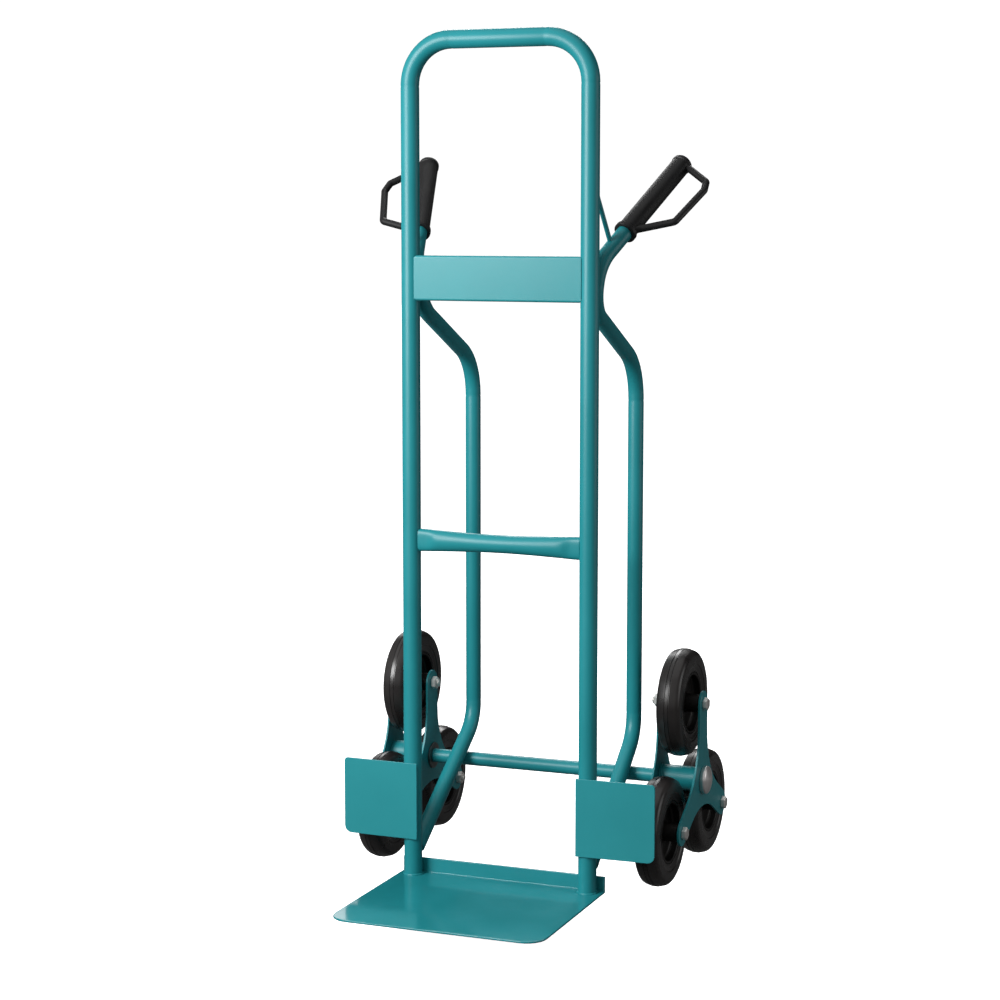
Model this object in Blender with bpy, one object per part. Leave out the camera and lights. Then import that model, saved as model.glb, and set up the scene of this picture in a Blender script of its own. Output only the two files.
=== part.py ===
"""Stair-climbing sack truck with a bent tube frame, a toe plate and two three-wheel clusters.

Metres, +Z up.  The origin is on the underside of the toe plate, midway between the feet of the
uprights.  The load stands on the -Y side.  "Right" is +X, the right hand of a person who faces
the load side.
"""

import math

import bmesh
import bpy
from mathutils import Vector

# Frame tube
TUBE_RADIUS = 0.0127
TUBE_WALL = 0.0015
TUBE_SIDES = 16
FRAME_HALF_WIDTH = 0.1302
FRAME_TOP_Z = 1.1609
TOP_BEND_RADIUS = 0.060
GAP = 0.0003

# Toe plate
TOE_THICKNESS = 0.003
TOE_HALF_WIDTH = 0.1510
TOE_FRONT_Y = -0.2400
TOE_CORNER_RADIUS = 0.028
UPSTAND_TOP_Z = 0.0235
UPSTAND_FRONT_Y = TUBE_RADIUS + GAP
UPSTAND_BACK_Y = UPSTAND_FRONT_Y + TOE_THICKNESS

# Cross members between the uprights
MOUTH_RADIUS = TUBE_RADIUS + 0.0007
CROSS_PLATE_BOTTOM_Z = 0.8100
CROSS_PLATE_TOP_Z = 0.8714
CROSS_PLATE_FRONT_Y = -0.0105
CROSS_PLATE_THICKNESS = 0.0018
CROSS_PLATE_LIP_BACK_Y = -0.0010
CROSS_PLATE_BEND = 0.003
MID_TUBE_Z = 0.4790
MID_TUBE_RADIUS = 0.0125
MID_TUBE_END_HALF_DEPTH = 0.0070
MID_TUBE_END_HALF_HEIGHT = 0.0158
MID_TUBE_TAPER_START = 0.010
MID_TUBE_TAPER_END = 0.112
MID_TUBE_TAPER_POWER = 1.5

# Side rails: foot, lower bend, upper bend, weld behind the upright, handle
RAIL_RADIUS = 0.0111
RAIL_FOOT = (0.1300, UPSTAND_FRONT_Y, 0.0391)
RAIL_LOWER_BEND = (0.1252, 0.2120, 0.1825)
RAIL_UPPER_BEND = (0.1252, 0.2120, 0.7140)
RAIL_WELD_LOW = (0.1260, TUBE_RADIUS + RAIL_RADIUS + GAP, 0.8015)
RAIL_WELD_HIGH = (0.1345, TUBE_RADIUS + RAIL_RADIUS + GAP, 0.8617)
RAIL_BEND_RADII = (0.055, 0.075, 0.050, 0.050)
HANDLE_DIRECTION = (0.2457, 0.7799, 0.5754)
HANDLE_LENGTH = 0.2324

# Brace rod from the back of the upright to the handle
BRACE_RADIUS = 0.00325
BRACE_TOP_Z = 0.965
BRACE_HANDLE_REACH = 0.035

# Hand grip with knuckle guard, distances along the handle and outward from its axis
GRIP_START = 0.0694
GRIP_LENGTH = 0.168
GRIP_BORE_RADIUS = RAIL_RADIUS + GAP
GRIP_RADIUS = 0.0139
GRIP_COLLAR_RADIUS = 0.0160
GRIP_COLLAR_LENGTH = 0.006
GRIP_END_WALL = 0.003
GUARD_CORNERS = ((0.010, 0.0129), (0.041, 0.0565), (0.116, 0.0615), (0.134, 0.0550), (0.160, 0.0129))
GUARD_BAR_HALF_WIDTH = 0.004
GUARD_BAR_HALF_DEPTH = 0.0040

# Wheel guard plates on the front of the uprights
WHEEL_GUARD_THICKNESS = 0.0025
WHEEL_GUARD_BOTTOM_Z = 0.0562
WHEEL_GUARD_TOP_Z = 0.1647
WHEEL_GUARD_INBOARD = 0.0127
WHEEL_GUARD_OUTBOARD = 0.1000
WHEEL_GUARD_SWEEP = math.radians(1.5)
WHEEL_GUARD_CORNER = 0.010

# Axle and three-wheel clusters
WHEEL_RADIUS = 0.0765
ARM_RADIUS = 0.1095
AXLE_Y = 0.1780
AXLE_Z = WHEEL_RADIUS + ARM_RADIUS / 2
AXLE_RADIUS = 0.010
AXLE_HALF_LENGTH = 0.2470
CLUSTER_X = 0.2085
SPIDER_INNER_FACE = 0.029
SPIDER_THICKNESS = 0.003
SPIDER_TIP_RADIUS = 0.0185
SPIDER_HOLLOW_RADIUS = 0.105
HUB_TUBE_RADIUS = 0.0175
WASHER_RADIUS = 0.019
WASHER_THICKNESS = 0.0025
HUB_CAP_RADIUS = 0.0197
HUB_CAP_HEIGHT = 0.012
ARMS = {"top": 0.0, "rear": 120.0, "front": 240.0}

# Wheels, bolts and nuts
TYRE_HALF_WIDTH = 0.0172
RIM_RADIUS = 0.044
RIM_HALF_WIDTH = 0.015
WHEEL_HUB_RADIUS = 0.013
WHEEL_HUB_HALF_LENGTH = 0.027
WEB_HALF_THICKNESS = 0.0035
WHEEL_SEGMENTS = 24
BOLT_RADIUS = 0.005
HEX_HALF_FLATS = 0.008
BOLT_HEAD_HEIGHT = 0.0065
NUT_HEIGHT = 0.008
BOLT_TAIL = 0.003

# Finishes: colour, roughness, metallic
TEAL_PAINT = ("teal_paint", (0.036, 0.270, 0.296), 0.28, 0.0)
BLACK_GRIP = ("black_grip_plastic", (0.013, 0.013, 0.013), 0.48, 0.0)
BLACK_RUBBER = ("black_rubber", (0.018, 0.018, 0.018), 0.60, 0.0)
BLACK_RIM = ("black_wheel_plastic", (0.010, 0.010, 0.010), 0.42, 0.0)
ZINC = ("zinc_plated_steel", (0.62, 0.62, 0.60), 0.28, 1.0)
CHROME = ("chromed_steel", (0.80, 0.80, 0.80), 0.10, 1.0)


def clear_scene():
    """Removes every object and mesh that is already there."""
    for item in list(bpy.data.objects):
        bpy.data.objects.remove(item, do_unlink=True)
    for mesh in list(bpy.data.meshes):
        bpy.data.meshes.remove(mesh)


def make_material(name, finish):
    """A Principled material of its own for one piece."""
    _, colour, roughness, metallic = finish
    material = bpy.data.materials.new(f"{name}_{finish[0]}")
    material.use_nodes = True
    shader = material.node_tree.nodes["Principled BSDF"]
    shader.inputs["Base Color"].default_value = (*colour, 1.0)
    shader.inputs["Roughness"].default_value = roughness
    shader.inputs["Metallic"].default_value = metallic
    return material


def make_object(name, bm, finish, origin=(0.0, 0.0, 0.0), sharp_angle=35.0):
    """Turns a finished bmesh into one named object with its origin where it is wanted."""
    origin = Vector(origin)
    for vert in bm.verts:
        vert.co -= origin
    bmesh.ops.recalc_face_normals(bm, faces=bm.faces)
    mesh = bpy.data.meshes.new(name)
    bm.to_mesh(mesh)
    bm.free()
    for polygon in mesh.polygons:
        polygon.use_smooth = True
    mesh.set_sharp_from_angle(angle=math.radians(sharp_angle))
    mesh.materials.append(make_material(name, finish))
    item = bpy.data.objects.new(name, mesh)
    item.location = origin
    bpy.context.scene.collection.objects.link(item)
    return item


def mirrored(point, side):
    """The point on the asked side: +1 is right, -1 is left."""
    return Vector((side * point[0], point[1], point[2]))


def side_name(side):
    """The word for a side, used in names."""
    return "right" if side > 0 else "left"


def filleted_path(corners, radii, steps):
    """Points along a polyline whose inner corners are rounded to the given radii."""
    corners = [Vector(corner) for corner in corners]
    points = [corners[0]]
    for before, corner, after, radius in zip(corners, corners[1:], corners[2:], radii):
        back = (before - corner).normalized()
        ahead = (after - corner).normalized()
        half_angle = back.angle(ahead) / 2
        middle = corner + (back + ahead).normalized() * (radius / math.sin(half_angle))
        start = corner + back * (radius / math.tan(half_angle))
        outward = (start - middle).normalized()
        turn = math.pi - 2 * half_angle
        for step in range(steps + 1):
            angle = turn * step / steps
            points.append(middle + (outward * math.cos(angle) - back * math.sin(angle)) * radius)
    points.append(corners[-1])
    return points


def path_tangents(points):
    """The direction of travel at each point of a path."""
    steps = [(after - before).normalized() for before, after in zip(points, points[1:])]
    inner = [(before + after).normalized() for before, after in zip(steps, steps[1:])]
    return [steps[0], *inner, steps[-1]]


def circle_rings(points, radius, sides, cuts=(None, None)):
    """Circles square to the path, carried along it without twist.

    A cut is a (point, normal) plane; the end circle is slid along the path onto that plane.
    """
    tangents = path_tangents(points)
    across = tangents[0].orthogonal().normalized()
    rings = []
    for index, (point, tangent) in enumerate(zip(points, tangents)):
        if index:
            across = tangents[index - 1].rotation_difference(tangent) @ across
        beside = tangent.cross(across)
        angles = [2 * math.pi * step / sides for step in range(sides)]
        rings.append(
            [point + (across * math.cos(a) + beside * math.sin(a)) * radius for a in angles]
        )
    for index, cut in ((0, cuts[0]), (-1, cuts[1])):
        if cut:
            rings[index] = [slide_to_plane(v, tangents[index], cut) for v in rings[index]]
    return rings


def slide_to_plane(point, direction, plane):
    """Moves a point along a direction until it lies on the plane."""
    on_plane, normal = Vector(plane[0]), Vector(plane[1])
    return point + direction * ((on_plane - point).dot(normal) / direction.dot(normal))


def add_skin(bm, rings):
    """Joins rings of equal count with quads and hands back the first and the last ring."""
    made = [[bm.verts.new(point) for point in ring] for ring in rings]
    for lower, upper in zip(made, made[1:]):
        join_rings(bm, lower, upper)
    return made[0], made[-1]


def join_rings(bm, first, second):
    """One band of quads between two rings of vertices."""
    count = len(first)
    for index in range(count):
        following = (index + 1) % count
        bm.faces.new((first[index], first[following], second[following], second[index]))


def hollow_tube(points, radius, wall, sides, cuts=(None, None)):
    """A tube with an outer skin, an inner skin and open ends."""
    bm = bmesh.new()
    outer_ends = add_skin(bm, circle_rings(points, radius, sides, cuts))
    inner_ends = add_skin(bm, circle_rings(points, radius - wall, sides, cuts))
    for outer, inner in zip(outer_ends, inner_ends):
        join_rings(bm, outer, inner)
    return bm


def solid_loft(rings):
    """A solid through a row of rings, closed by a flat face at each end."""
    bm = bmesh.new()
    for end in add_skin(bm, rings):
        bm.faces.new(end)
    return bm


def ring_around_x(x, radii, centre):
    """A ring square to X; radii holds one distance for each corner, first corner lowest."""
    count = len(radii)
    ring = []
    for index, radius in enumerate(radii):
        angle = 2 * math.pi * index / count
        ring.append(centre + Vector((x, radius * math.sin(angle), -radius * math.cos(angle))))
    return ring


def turned_solid(stations, sides, centre):
    """A solid of circles along X, from (x, radius) stations."""
    return solid_loft([ring_around_x(x, [radius] * sides, centre) for x, radius in stations])


def turned_ring(profile, sides, centre):
    """A closed (x, radius) profile carried round the X axis."""
    bm = bmesh.new()
    spokes = []
    for step in range(sides):
        angle = 2 * math.pi * step / sides
        turn = Vector((0.0, math.sin(angle), -math.cos(angle)))
        spokes.append([bm.verts.new(centre + Vector((x, 0, 0)) + turn * r) for x, r in profile])
    for here, there in zip(spokes, spokes[1:] + spokes[:1]):
        join_rings(bm, here, there)
    return bm


def arc_points(centre, radius, start, end, steps):
    """Points on a flat arc, angles in radians, both ends included."""
    angles = [start + (end - start) * step / steps for step in range(steps + 1)]
    return [(centre[0] + radius * math.cos(a), centre[1] + radius * math.sin(a)) for a in angles]


def flat_plate(outline, holes, thickness, place):
    """A plate from a flat outline with holes; place maps (u, v, depth) to a point in space."""
    bm = bmesh.new()
    loops = [[bm.verts.new(place(u, v, 0.0)) for u, v in loop] for loop in (outline, *holes)]
    edges = [bm.edges.new(pair) for loop in loops for pair in zip(loop, loop[1:] + loop[:1])]
    bmesh.ops.triangle_fill(bm, use_beauty=True, use_dissolve=False, edges=edges)
    shift = place(0.0, 0.0, thickness) - place(0.0, 0.0, 0.0)
    faces = list(bm.faces)
    above = {vert: bm.verts.new(vert.co + shift) for vert in list(bm.verts)}
    for face in faces:
        bm.faces.new([above[vert] for vert in reversed(face.verts)])
    for loop in loops:
        for here, there in zip(loop, loop[1:] + loop[:1]):
            bm.faces.new((here, there, above[there], above[here]))
    return bm


def build_main_frame():
    """The tall U: two uprights and the top bar from one bent tube."""
    foot_z = TOE_THICKNESS + GAP
    corners = [
        (-FRAME_HALF_WIDTH, 0.0, foot_z),
        (-FRAME_HALF_WIDTH, 0.0, FRAME_TOP_Z),
        (FRAME_HALF_WIDTH, 0.0, FRAME_TOP_Z),
        (FRAME_HALF_WIDTH, 0.0, foot_z),
    ]
    path = filleted_path(corners, (TOP_BEND_RADIUS, TOP_BEND_RADIUS), 9)
    make_object("main_frame_tube", hollow_tube(path, TUBE_RADIUS, TUBE_WALL, TUBE_SIDES), TEAL_PAINT)


def mouth_x(y):
    """How far out a cross member reaches at depth y to lie against the upright."""
    return FRAME_HALF_WIDTH - math.sqrt(MOUTH_RADIUS**2 - y**2)


def build_cross_plate():
    """Sheet between the uprights with its long edges folded back."""
    front, back = CROSS_PLATE_FRONT_Y, CROSS_PLATE_LIP_BACK_Y
    top, bottom = CROSS_PLATE_TOP_Z, CROSS_PLATE_BOTTOM_Z
    bend, sheet = CROSS_PLATE_BEND, CROSS_PLATE_THICKNESS
    outer = [(back, top), (front + bend, top), (front, top - bend)]
    outer += [(front, bottom + bend), (front + bend, bottom), (back, bottom)]
    inner = [(back, top - sheet), (front + bend, top - sheet), (front + sheet, top - bend)]
    inner += [(front + sheet, bottom + bend), (front + bend, bottom + sheet)]
    inner += [(back, bottom + sheet)]
    bm = bmesh.new()
    ends = []
    for side in (-1, 1):
        outer_verts = [bm.verts.new((side * mouth_x(y), y, z)) for y, z in outer]
        inner_verts = [bm.verts.new((side * mouth_x(y), y, z)) for y, z in inner]
        for index in range(len(outer) - 1):
            following = index + 1
            bm.faces.new(
                (
                    outer_verts[index],
                    outer_verts[following],
                    inner_verts[following],
                    inner_verts[index],
                )
            )
        ends.append(outer_verts + inner_verts[::-1])
    join_rings(bm, *ends)
    make_object("cross_plate", bm, TEAL_PAINT)


def build_mid_cross_tube():
    """Round cross tube whose ends are squeezed tall and narrow against the uprights."""
    inner_stations = [0.035, 0.060, 0.085, MID_TUBE_TAPER_END]
    stations = [-x for x in reversed(inner_stations)] + [0.0] + inner_stations

    def oval(share, wall):
        depth = MID_TUBE_RADIUS + (MID_TUBE_END_HALF_DEPTH - MID_TUBE_RADIUS) * share - wall
        height = MID_TUBE_RADIUS + (MID_TUBE_END_HALF_HEIGHT - MID_TUBE_RADIUS) * share - wall
        angles = [2 * math.pi * step / TUBE_SIDES for step in range(TUBE_SIDES)]
        return [(depth * math.cos(a), MID_TUBE_Z + height * math.sin(a)) for a in angles]

    def skin(wall):
        rings = [[Vector((-mouth_x(y), y, z)) for y, z in oval(1.0, wall)]]
        for x in stations:
            reach = (abs(x) - MID_TUBE_TAPER_START) / (MID_TUBE_TAPER_END - MID_TUBE_TAPER_START)
            reach = min(max(reach, 0.0), 1.0)
            share = reach ** MID_TUBE_TAPER_POWER
            rings.append([Vector((x, y, z)) for y, z in oval(share, wall)])
        rings.append([Vector((mouth_x(y), y, z)) for y, z in oval(1.0, wall)])
        return rings

    bm = bmesh.new()
    outer_ends = add_skin(bm, skin(0.0))
    inner_ends = add_skin(bm, skin(TUBE_WALL))
    for outer, inner in zip(outer_ends, inner_ends):
        join_rings(bm, outer, inner)
    make_object("mid_cross_tube", bm, TEAL_PAINT)


def toe_outline():
    """Left back corner, round both front corners, to the right back corner of the flat part."""
    inset_x = TOE_HALF_WIDTH - TOE_CORNER_RADIUS
    inset_y = TOE_FRONT_Y + TOE_CORNER_RADIUS
    left = arc_points((-inset_x, inset_y), TOE_CORNER_RADIUS, math.pi, 1.5 * math.pi, 6)
    right = arc_points((inset_x, inset_y), TOE_CORNER_RADIUS, 1.5 * math.pi, 2 * math.pi, 6)
    start = (-TOE_HALF_WIDTH, UPSTAND_FRONT_Y)
    end = (TOE_HALF_WIDTH, UPSTAND_FRONT_Y)
    return [start, *left, *right, end]


def build_toe_plate():
    """Flat plate with rounded front corners and a strip folded up along its back."""
    bm = bmesh.new()
    outline = toe_outline()
    lower = [bm.verts.new((x, y, 0.0)) for x, y in outline]
    upper = [bm.verts.new((x, y, TOE_THICKNESS)) for x, y in outline]
    back_x = (TOE_HALF_WIDTH, -TOE_HALF_WIDTH)
    lower_back = [bm.verts.new((x, UPSTAND_BACK_Y, 0.0)) for x in back_x]
    top_back = [bm.verts.new((x, UPSTAND_BACK_Y, UPSTAND_TOP_Z)) for x in back_x]
    top_front = [bm.verts.new((x, UPSTAND_FRONT_Y, UPSTAND_TOP_Z)) for x in back_x]
    for index in range(len(outline) - 1):
        following = index + 1
        bm.faces.new((lower[index], lower[following], upper[following], upper[index]))
    bm.faces.new(lower + lower_back)
    bm.faces.new(upper)
    bm.faces.new((upper[0], upper[-1], top_front[0], top_front[1]))
    bm.faces.new((top_front[0], top_front[1], top_back[1], top_back[0]))
    bm.faces.new((lower_back[0], lower_back[1], top_back[1], top_back[0]))
    bm.faces.new((lower[-1], lower_back[0], top_back[0], top_front[0], upper[-1]))
    bm.faces.new((lower_back[1], lower[0], upper[0], top_front[1], top_back[1]))
    make_object("toe_plate", bm, TEAL_PAINT)


def rail_corners(side):
    """Corner points of a side rail from its foot to the open end inside the grip."""
    corners = [RAIL_FOOT, RAIL_LOWER_BEND, RAIL_UPPER_BEND, RAIL_WELD_LOW, RAIL_WELD_HIGH]
    end = Vector(RAIL_WELD_HIGH) + Vector(HANDLE_DIRECTION).normalized() * HANDLE_LENGTH
    return [mirrored(corner, side) for corner in (*corners, end)]


def build_side_rail(side):
    """One tube: foot, slope, upright stretch behind, weld at the upright, handle."""
    path = filleted_path(rail_corners(side), RAIL_BEND_RADII, 6)
    foot_plane = ((0.0, UPSTAND_FRONT_Y, 0.0), (0.0, 1.0, 0.0))
    bm = hollow_tube(path, RAIL_RADIUS, TUBE_WALL, TUBE_SIDES, (foot_plane, None))
    make_object(f"side_rail_{side_name(side)}", bm, TEAL_PAINT)


def handle_point(side, along):
    """A point on the handle axis, measured from the bend behind the upright."""
    direction = mirrored(Vector(HANDLE_DIRECTION).normalized(), side)
    return mirrored(RAIL_WELD_HIGH, side) + direction * along


def handle_axes(side):
    """Unit vectors: along the handle, outward in the guard plane, square to that plane."""
    along = mirrored(Vector(HANDLE_DIRECTION).normalized(), side)
    sideways = Vector((side, 0.0, 0.0))
    outward = (sideways - along * sideways.dot(along)).normalized()
    return along, outward, along.cross(outward)


def build_handle_brace(side):
    """Thin straight rod from the back of the upright down to the top of the handle."""
    top = Vector((side * FRAME_HALF_WIDTH, TUBE_RADIUS + GAP, BRACE_TOP_Z))
    axis_point = handle_point(side, BRACE_HANDLE_REACH)
    along = handle_axes(side)[0]
    toward = top - axis_point
    toward = (toward - along * toward.dot(along)).normalized()
    bottom = axis_point + toward * (RAIL_RADIUS + GAP)
    cuts = ((top, (0.0, 1.0, 0.0)), (bottom, toward))
    bm = solid_loft(circle_rings([top, bottom], BRACE_RADIUS, 10, cuts))
    make_object(f"handle_brace_{side_name(side)}", bm, TEAL_PAINT)


def grip_sleeve(side, start):
    """Blind sleeve with a collar at its mouth and a rounded closed end."""
    along, outward, beside = handle_axes(side)
    sides = 20

    def ring(distance, radius):
        angles = [2 * math.pi * step / sides for step in range(sides)]
        middle = start + along * distance
        return [middle + (outward * math.cos(a) + beside * math.sin(a)) * radius for a in angles]

    outer = [(0.0, GRIP_COLLAR_RADIUS), (GRIP_COLLAR_LENGTH, GRIP_COLLAR_RADIUS)]
    outer += [(GRIP_COLLAR_LENGTH, GRIP_RADIUS), (GRIP_LENGTH - 0.006, GRIP_RADIUS)]
    outer += [(GRIP_LENGTH - 0.002, GRIP_RADIUS - 0.002), (GRIP_LENGTH, GRIP_RADIUS - 0.006)]
    depth = GRIP_LENGTH - GRIP_END_WALL
    bm = bmesh.new()
    outer_mouth, outer_end = add_skin(bm, [ring(*station) for station in outer])
    bore = [ring(0.0, GRIP_BORE_RADIUS), ring(depth, GRIP_BORE_RADIUS)]
    inner_mouth, inner_end = add_skin(bm, bore)
    join_rings(bm, outer_mouth, inner_mouth)
    bm.faces.new(outer_end)
    bm.faces.new(inner_end)
    return bm


def guard_bar(side, start):
    """Flat bar bent round the fingers, its two ends sunk in the wall of the sleeve."""
    along, outward, beside = handle_axes(side)
    corners = [Vector((distance, reach)) for distance, reach in GUARD_CORNERS]
    steps = [(after - before).normalized() for before, after in zip(corners, corners[1:])]
    rings = []
    for index, corner in enumerate(corners):
        if index == 0:
            miter = Vector((1.0, 0.0)) / abs(steps[0].y)
        elif index == len(corners) - 1:
            miter = Vector((-1.0, 0.0)) / abs(steps[-1].y) * -1.0
        else:
            normal = Vector((-steps[index - 1].y, steps[index - 1].x))
            bisector = (normal + Vector((-steps[index].y, steps[index].x))).normalized()
            miter = bisector / bisector.dot(normal)
        if miter.dot(Vector((steps[max(index - 1, 0)].y, -steps[max(index - 1, 0)].x))) < 0:
            miter = -miter
        ring = []
        for across, deep in ((1, 1), (1, -1), (-1, -1), (-1, 1)):
            flat = corner + miter * (across * GUARD_BAR_HALF_WIDTH)
            point = start + along * flat.x + outward * flat.y
            ring.append(point + beside * (deep * GUARD_BAR_HALF_DEPTH))
        rings.append(ring)
    return solid_loft(rings)


def build_hand_grip(side):
    """Grip sleeve and knuckle guard joined into the one moulding they are."""
    start = handle_point(side, GRIP_START)
    name = f"hand_grip_{side_name(side)}"
    grip = make_object(name, grip_sleeve(side, start), BLACK_GRIP)
    bar = make_object(f"{name}_bar", guard_bar(side, start), BLACK_GRIP)
    joined = grip.modifiers.new("guard", "BOOLEAN")
    joined.operation = "UNION"
    joined.solver = "EXACT"
    joined.object = bar
    bpy.context.view_layer.objects.active = grip
    bpy.ops.object.modifier_apply(modifier=joined.name)
    bar_mesh = bar.data
    bpy.data.objects.remove(bar, do_unlink=True)
    bpy.data.meshes.remove(bar_mesh)


def build_wheel_guard(side):
    """Flat plate across the front of the upright, swept back a little at its outer end."""
    sweep = WHEEL_GUARD_SWEEP
    outward = Vector((side * math.cos(sweep), math.sin(sweep), 0.0))
    forward = Vector((side * math.sin(sweep), -math.cos(sweep), 0.0))
    base = Vector((side * FRAME_HALF_WIDTH, 0.0, 0.0)) + forward * (TUBE_RADIUS + GAP)

    def place(u, v, depth):
        return base + outward * u + Vector((0.0, 0.0, v)) + forward * depth

    low, high, corner = WHEEL_GUARD_BOTTOM_Z, WHEEL_GUARD_TOP_Z, WHEEL_GUARD_CORNER
    small = corner / 2
    end = WHEEL_GUARD_OUTBOARD
    outline = [(-WHEEL_GUARD_INBOARD, high), (-WHEEL_GUARD_INBOARD, low)]
    outline += arc_points((end - corner, low + corner), corner, -math.pi / 2, 0.0, 4)
    outline += arc_points((end - small, high - small), small, 0.0, math.pi / 2, 3)
    bm = flat_plate(outline, [], WHEEL_GUARD_THICKNESS, place)
    make_object(f"wheel_guard_{side_name(side)}", bm, TEAL_PAINT)


def build_axle():
    """Round bar right across, under the slopes of both side rails."""
    centre = Vector((0.0, AXLE_Y, AXLE_Z))
    chamfer = 0.001
    half = AXLE_HALF_LENGTH
    stations = [(-half, AXLE_RADIUS - chamfer), (chamfer - half, AXLE_RADIUS)]
    stations += [(half - chamfer, AXLE_RADIUS), (half, AXLE_RADIUS - chamfer)]
    make_object("axle", turned_solid(stations, 20, centre), TEAL_PAINT, centre)


def cluster_centre(side):
    """Middle of a wheel cluster on the axle."""
    return Vector((side * CLUSTER_X, AXLE_Y, AXLE_Z))


def build_washer(side):
    """Plain washer on the axle against the inner face of the cluster."""
    centre = cluster_centre(side)
    face = -side * (SPIDER_INNER_FACE + SPIDER_THICKNESS + GAP)
    far = face - side * WASHER_THICKNESS
    bore = AXLE_RADIUS + GAP
    profile = [(face, bore), (face, WASHER_RADIUS), (far, WASHER_RADIUS), (far, bore)]
    bm = turned_ring(profile, 24, centre)
    make_object(f"axle_washer_{side_name(side)}", bm, ZINC, centre)


def build_hub_cap(side):
    """Domed cap pushed over the end of the axle."""
    centre = cluster_centre(side)
    base = SPIDER_INNER_FACE + SPIDER_THICKNESS + GAP
    bore = AXLE_RADIUS + GAP
    depth = AXLE_HALF_LENGTH - CLUSTER_X + GAP
    dome = [(0.0, 1.0), (0.25, 1.0), (0.45, 0.92), (0.75, 0.68), (0.93, 0.40), (1.0, 0.15)]
    bm = bmesh.new()

    def ring(x, radius):
        return ring_around_x(side * x, [radius] * 24, centre)

    outer = [ring(base + rise * HUB_CAP_HEIGHT, width * HUB_CAP_RADIUS) for rise, width in dome]
    outer_mouth, outer_end = add_skin(bm, outer)
    inner_mouth, inner_end = add_skin(bm, [ring(base, bore), ring(depth, bore)])
    join_rings(bm, outer_mouth, inner_mouth)
    bm.faces.new(outer_end)
    bm.faces.new(inner_end)
    make_object(f"hub_cap_{side_name(side)}", bm, CHROME, centre)


def spider_outline():
    """Three rounded arms joined by wide hollow curves, in (Y, Z) from the axle."""
    outline = []
    middle_distance = (SPIDER_TIP_RADIUS + SPIDER_HOLLOW_RADIUS) / math.sin(math.radians(60))
    for arm_degrees in (90.0, 210.0, 330.0):
        arm = math.radians(arm_degrees)
        tip = (ARM_RADIUS * math.cos(arm), ARM_RADIUS * math.sin(arm))
        outline += arc_points(tip, SPIDER_TIP_RADIUS, arm - math.pi / 2, arm + math.pi / 2, 8)
        between = arm + math.radians(60)
        middle = (middle_distance * math.cos(between), middle_distance * math.sin(between))
        start = between + math.pi + math.radians(30)
        hollow = arc_points(middle, SPIDER_HOLLOW_RADIUS, start, start - math.radians(60), 7)
        outline += hollow
    return outline


def arm_offset(degrees):
    """Where a wheel centre lies from the axle; 0 is straight up, 90 is to the rear."""
    angle = math.radians(degrees)
    return Vector((0.0, ARM_RADIUS * math.sin(angle), ARM_RADIUS * math.cos(angle)))


def build_spider(side, which):
    """Three-arm plate on the inner or the outer face of a cluster."""
    centre = cluster_centre(side)
    outward = side if which == "outer" else -side
    face = outward * SPIDER_INNER_FACE

    def place(u, v, depth):
        return centre + Vector((face + outward * depth, u, v))

    hole = BOLT_RADIUS + GAP
    holes = [arc_points((0.0, 0.0), AXLE_RADIUS + GAP, 0.0, 2 * math.pi * 15 / 16, 15)]
    for degrees in ARMS.values():
        offset = arm_offset(degrees)
        holes.append(arc_points((offset.y, offset.z), hole, 0.0, 2 * math.pi * 11 / 12, 11))
    bm = flat_plate(spider_outline(), holes, SPIDER_THICKNESS, place)
    make_object(f"spider_{which}_{side_name(side)}", bm, TEAL_PAINT, centre)


def build_hub_tube(side):
    """Tube round the axle that holds the two three-arm plates apart."""
    centre = cluster_centre(side)
    half = SPIDER_INNER_FACE - GAP
    bore = AXLE_RADIUS + GAP
    profile = [(-half, bore), (-half, HUB_TUBE_RADIUS), (half, HUB_TUBE_RADIUS), (half, bore)]
    bm = turned_ring(profile, 20, centre)
    make_object(f"hub_tube_{side_name(side)}", bm, TEAL_PAINT, centre)


def hexagon_radii(half_flats):
    """Twelve distances that draw a hexagon: corner, middle of a flat, corner and so on."""
    corner = half_flats / math.cos(math.radians(30))
    return [corner, half_flats] * 6


def build_bolt(side, arm):
    """Hexagon bolt with its head outside, through both plates and the wheel."""
    centre = cluster_centre(side) + arm_offset(ARMS[arm])
    seat = SPIDER_INNER_FACE + SPIDER_THICKNESS + GAP
    crown = seat + BOLT_HEAD_HEIGHT
    tail = -seat - NUT_HEIGHT - BOLT_TAIL
    hexagon = hexagon_radii(HEX_HALF_FLATS)
    chamfered = [min(radius, HEX_HALF_FLATS) for radius in hexagon]
    shank = [BOLT_RADIUS] * 12
    stations = [(crown, chamfered), (crown - 0.0012, hexagon), (seat, hexagon)]
    stations += [(seat, shank), (tail + 0.001, shank), (tail, [BOLT_RADIUS - 0.001] * 12)]
    rings = [ring_around_x(side * x, radii, centre) for x, radii in stations]
    make_object(f"wheel_bolt_{side_name(side)}_{arm}", solid_loft(rings), ZINC, centre)


def build_nut(side, arm):
    """Hexagon nut on the inner end of a wheel bolt."""
    centre = cluster_centre(side) + arm_offset(ARMS[arm])
    near = -(SPIDER_INNER_FACE + SPIDER_THICKNESS + GAP)
    far = near - NUT_HEIGHT
    hexagon = hexagon_radii(HEX_HALF_FLATS)
    bore = [BOLT_RADIUS + GAP] * 12
    bm = bmesh.new()
    outer_ends = add_skin(bm, [ring_around_x(side * x, hexagon, centre) for x in (near, far)])
    inner_ends = add_skin(bm, [ring_around_x(side * x, bore, centre) for x in (near, far)])
    for outer, inner in zip(outer_ends, inner_ends):
        join_rings(bm, outer, inner)
    make_object(f"wheel_nut_{side_name(side)}_{arm}", bm, ZINC, centre)


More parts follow.
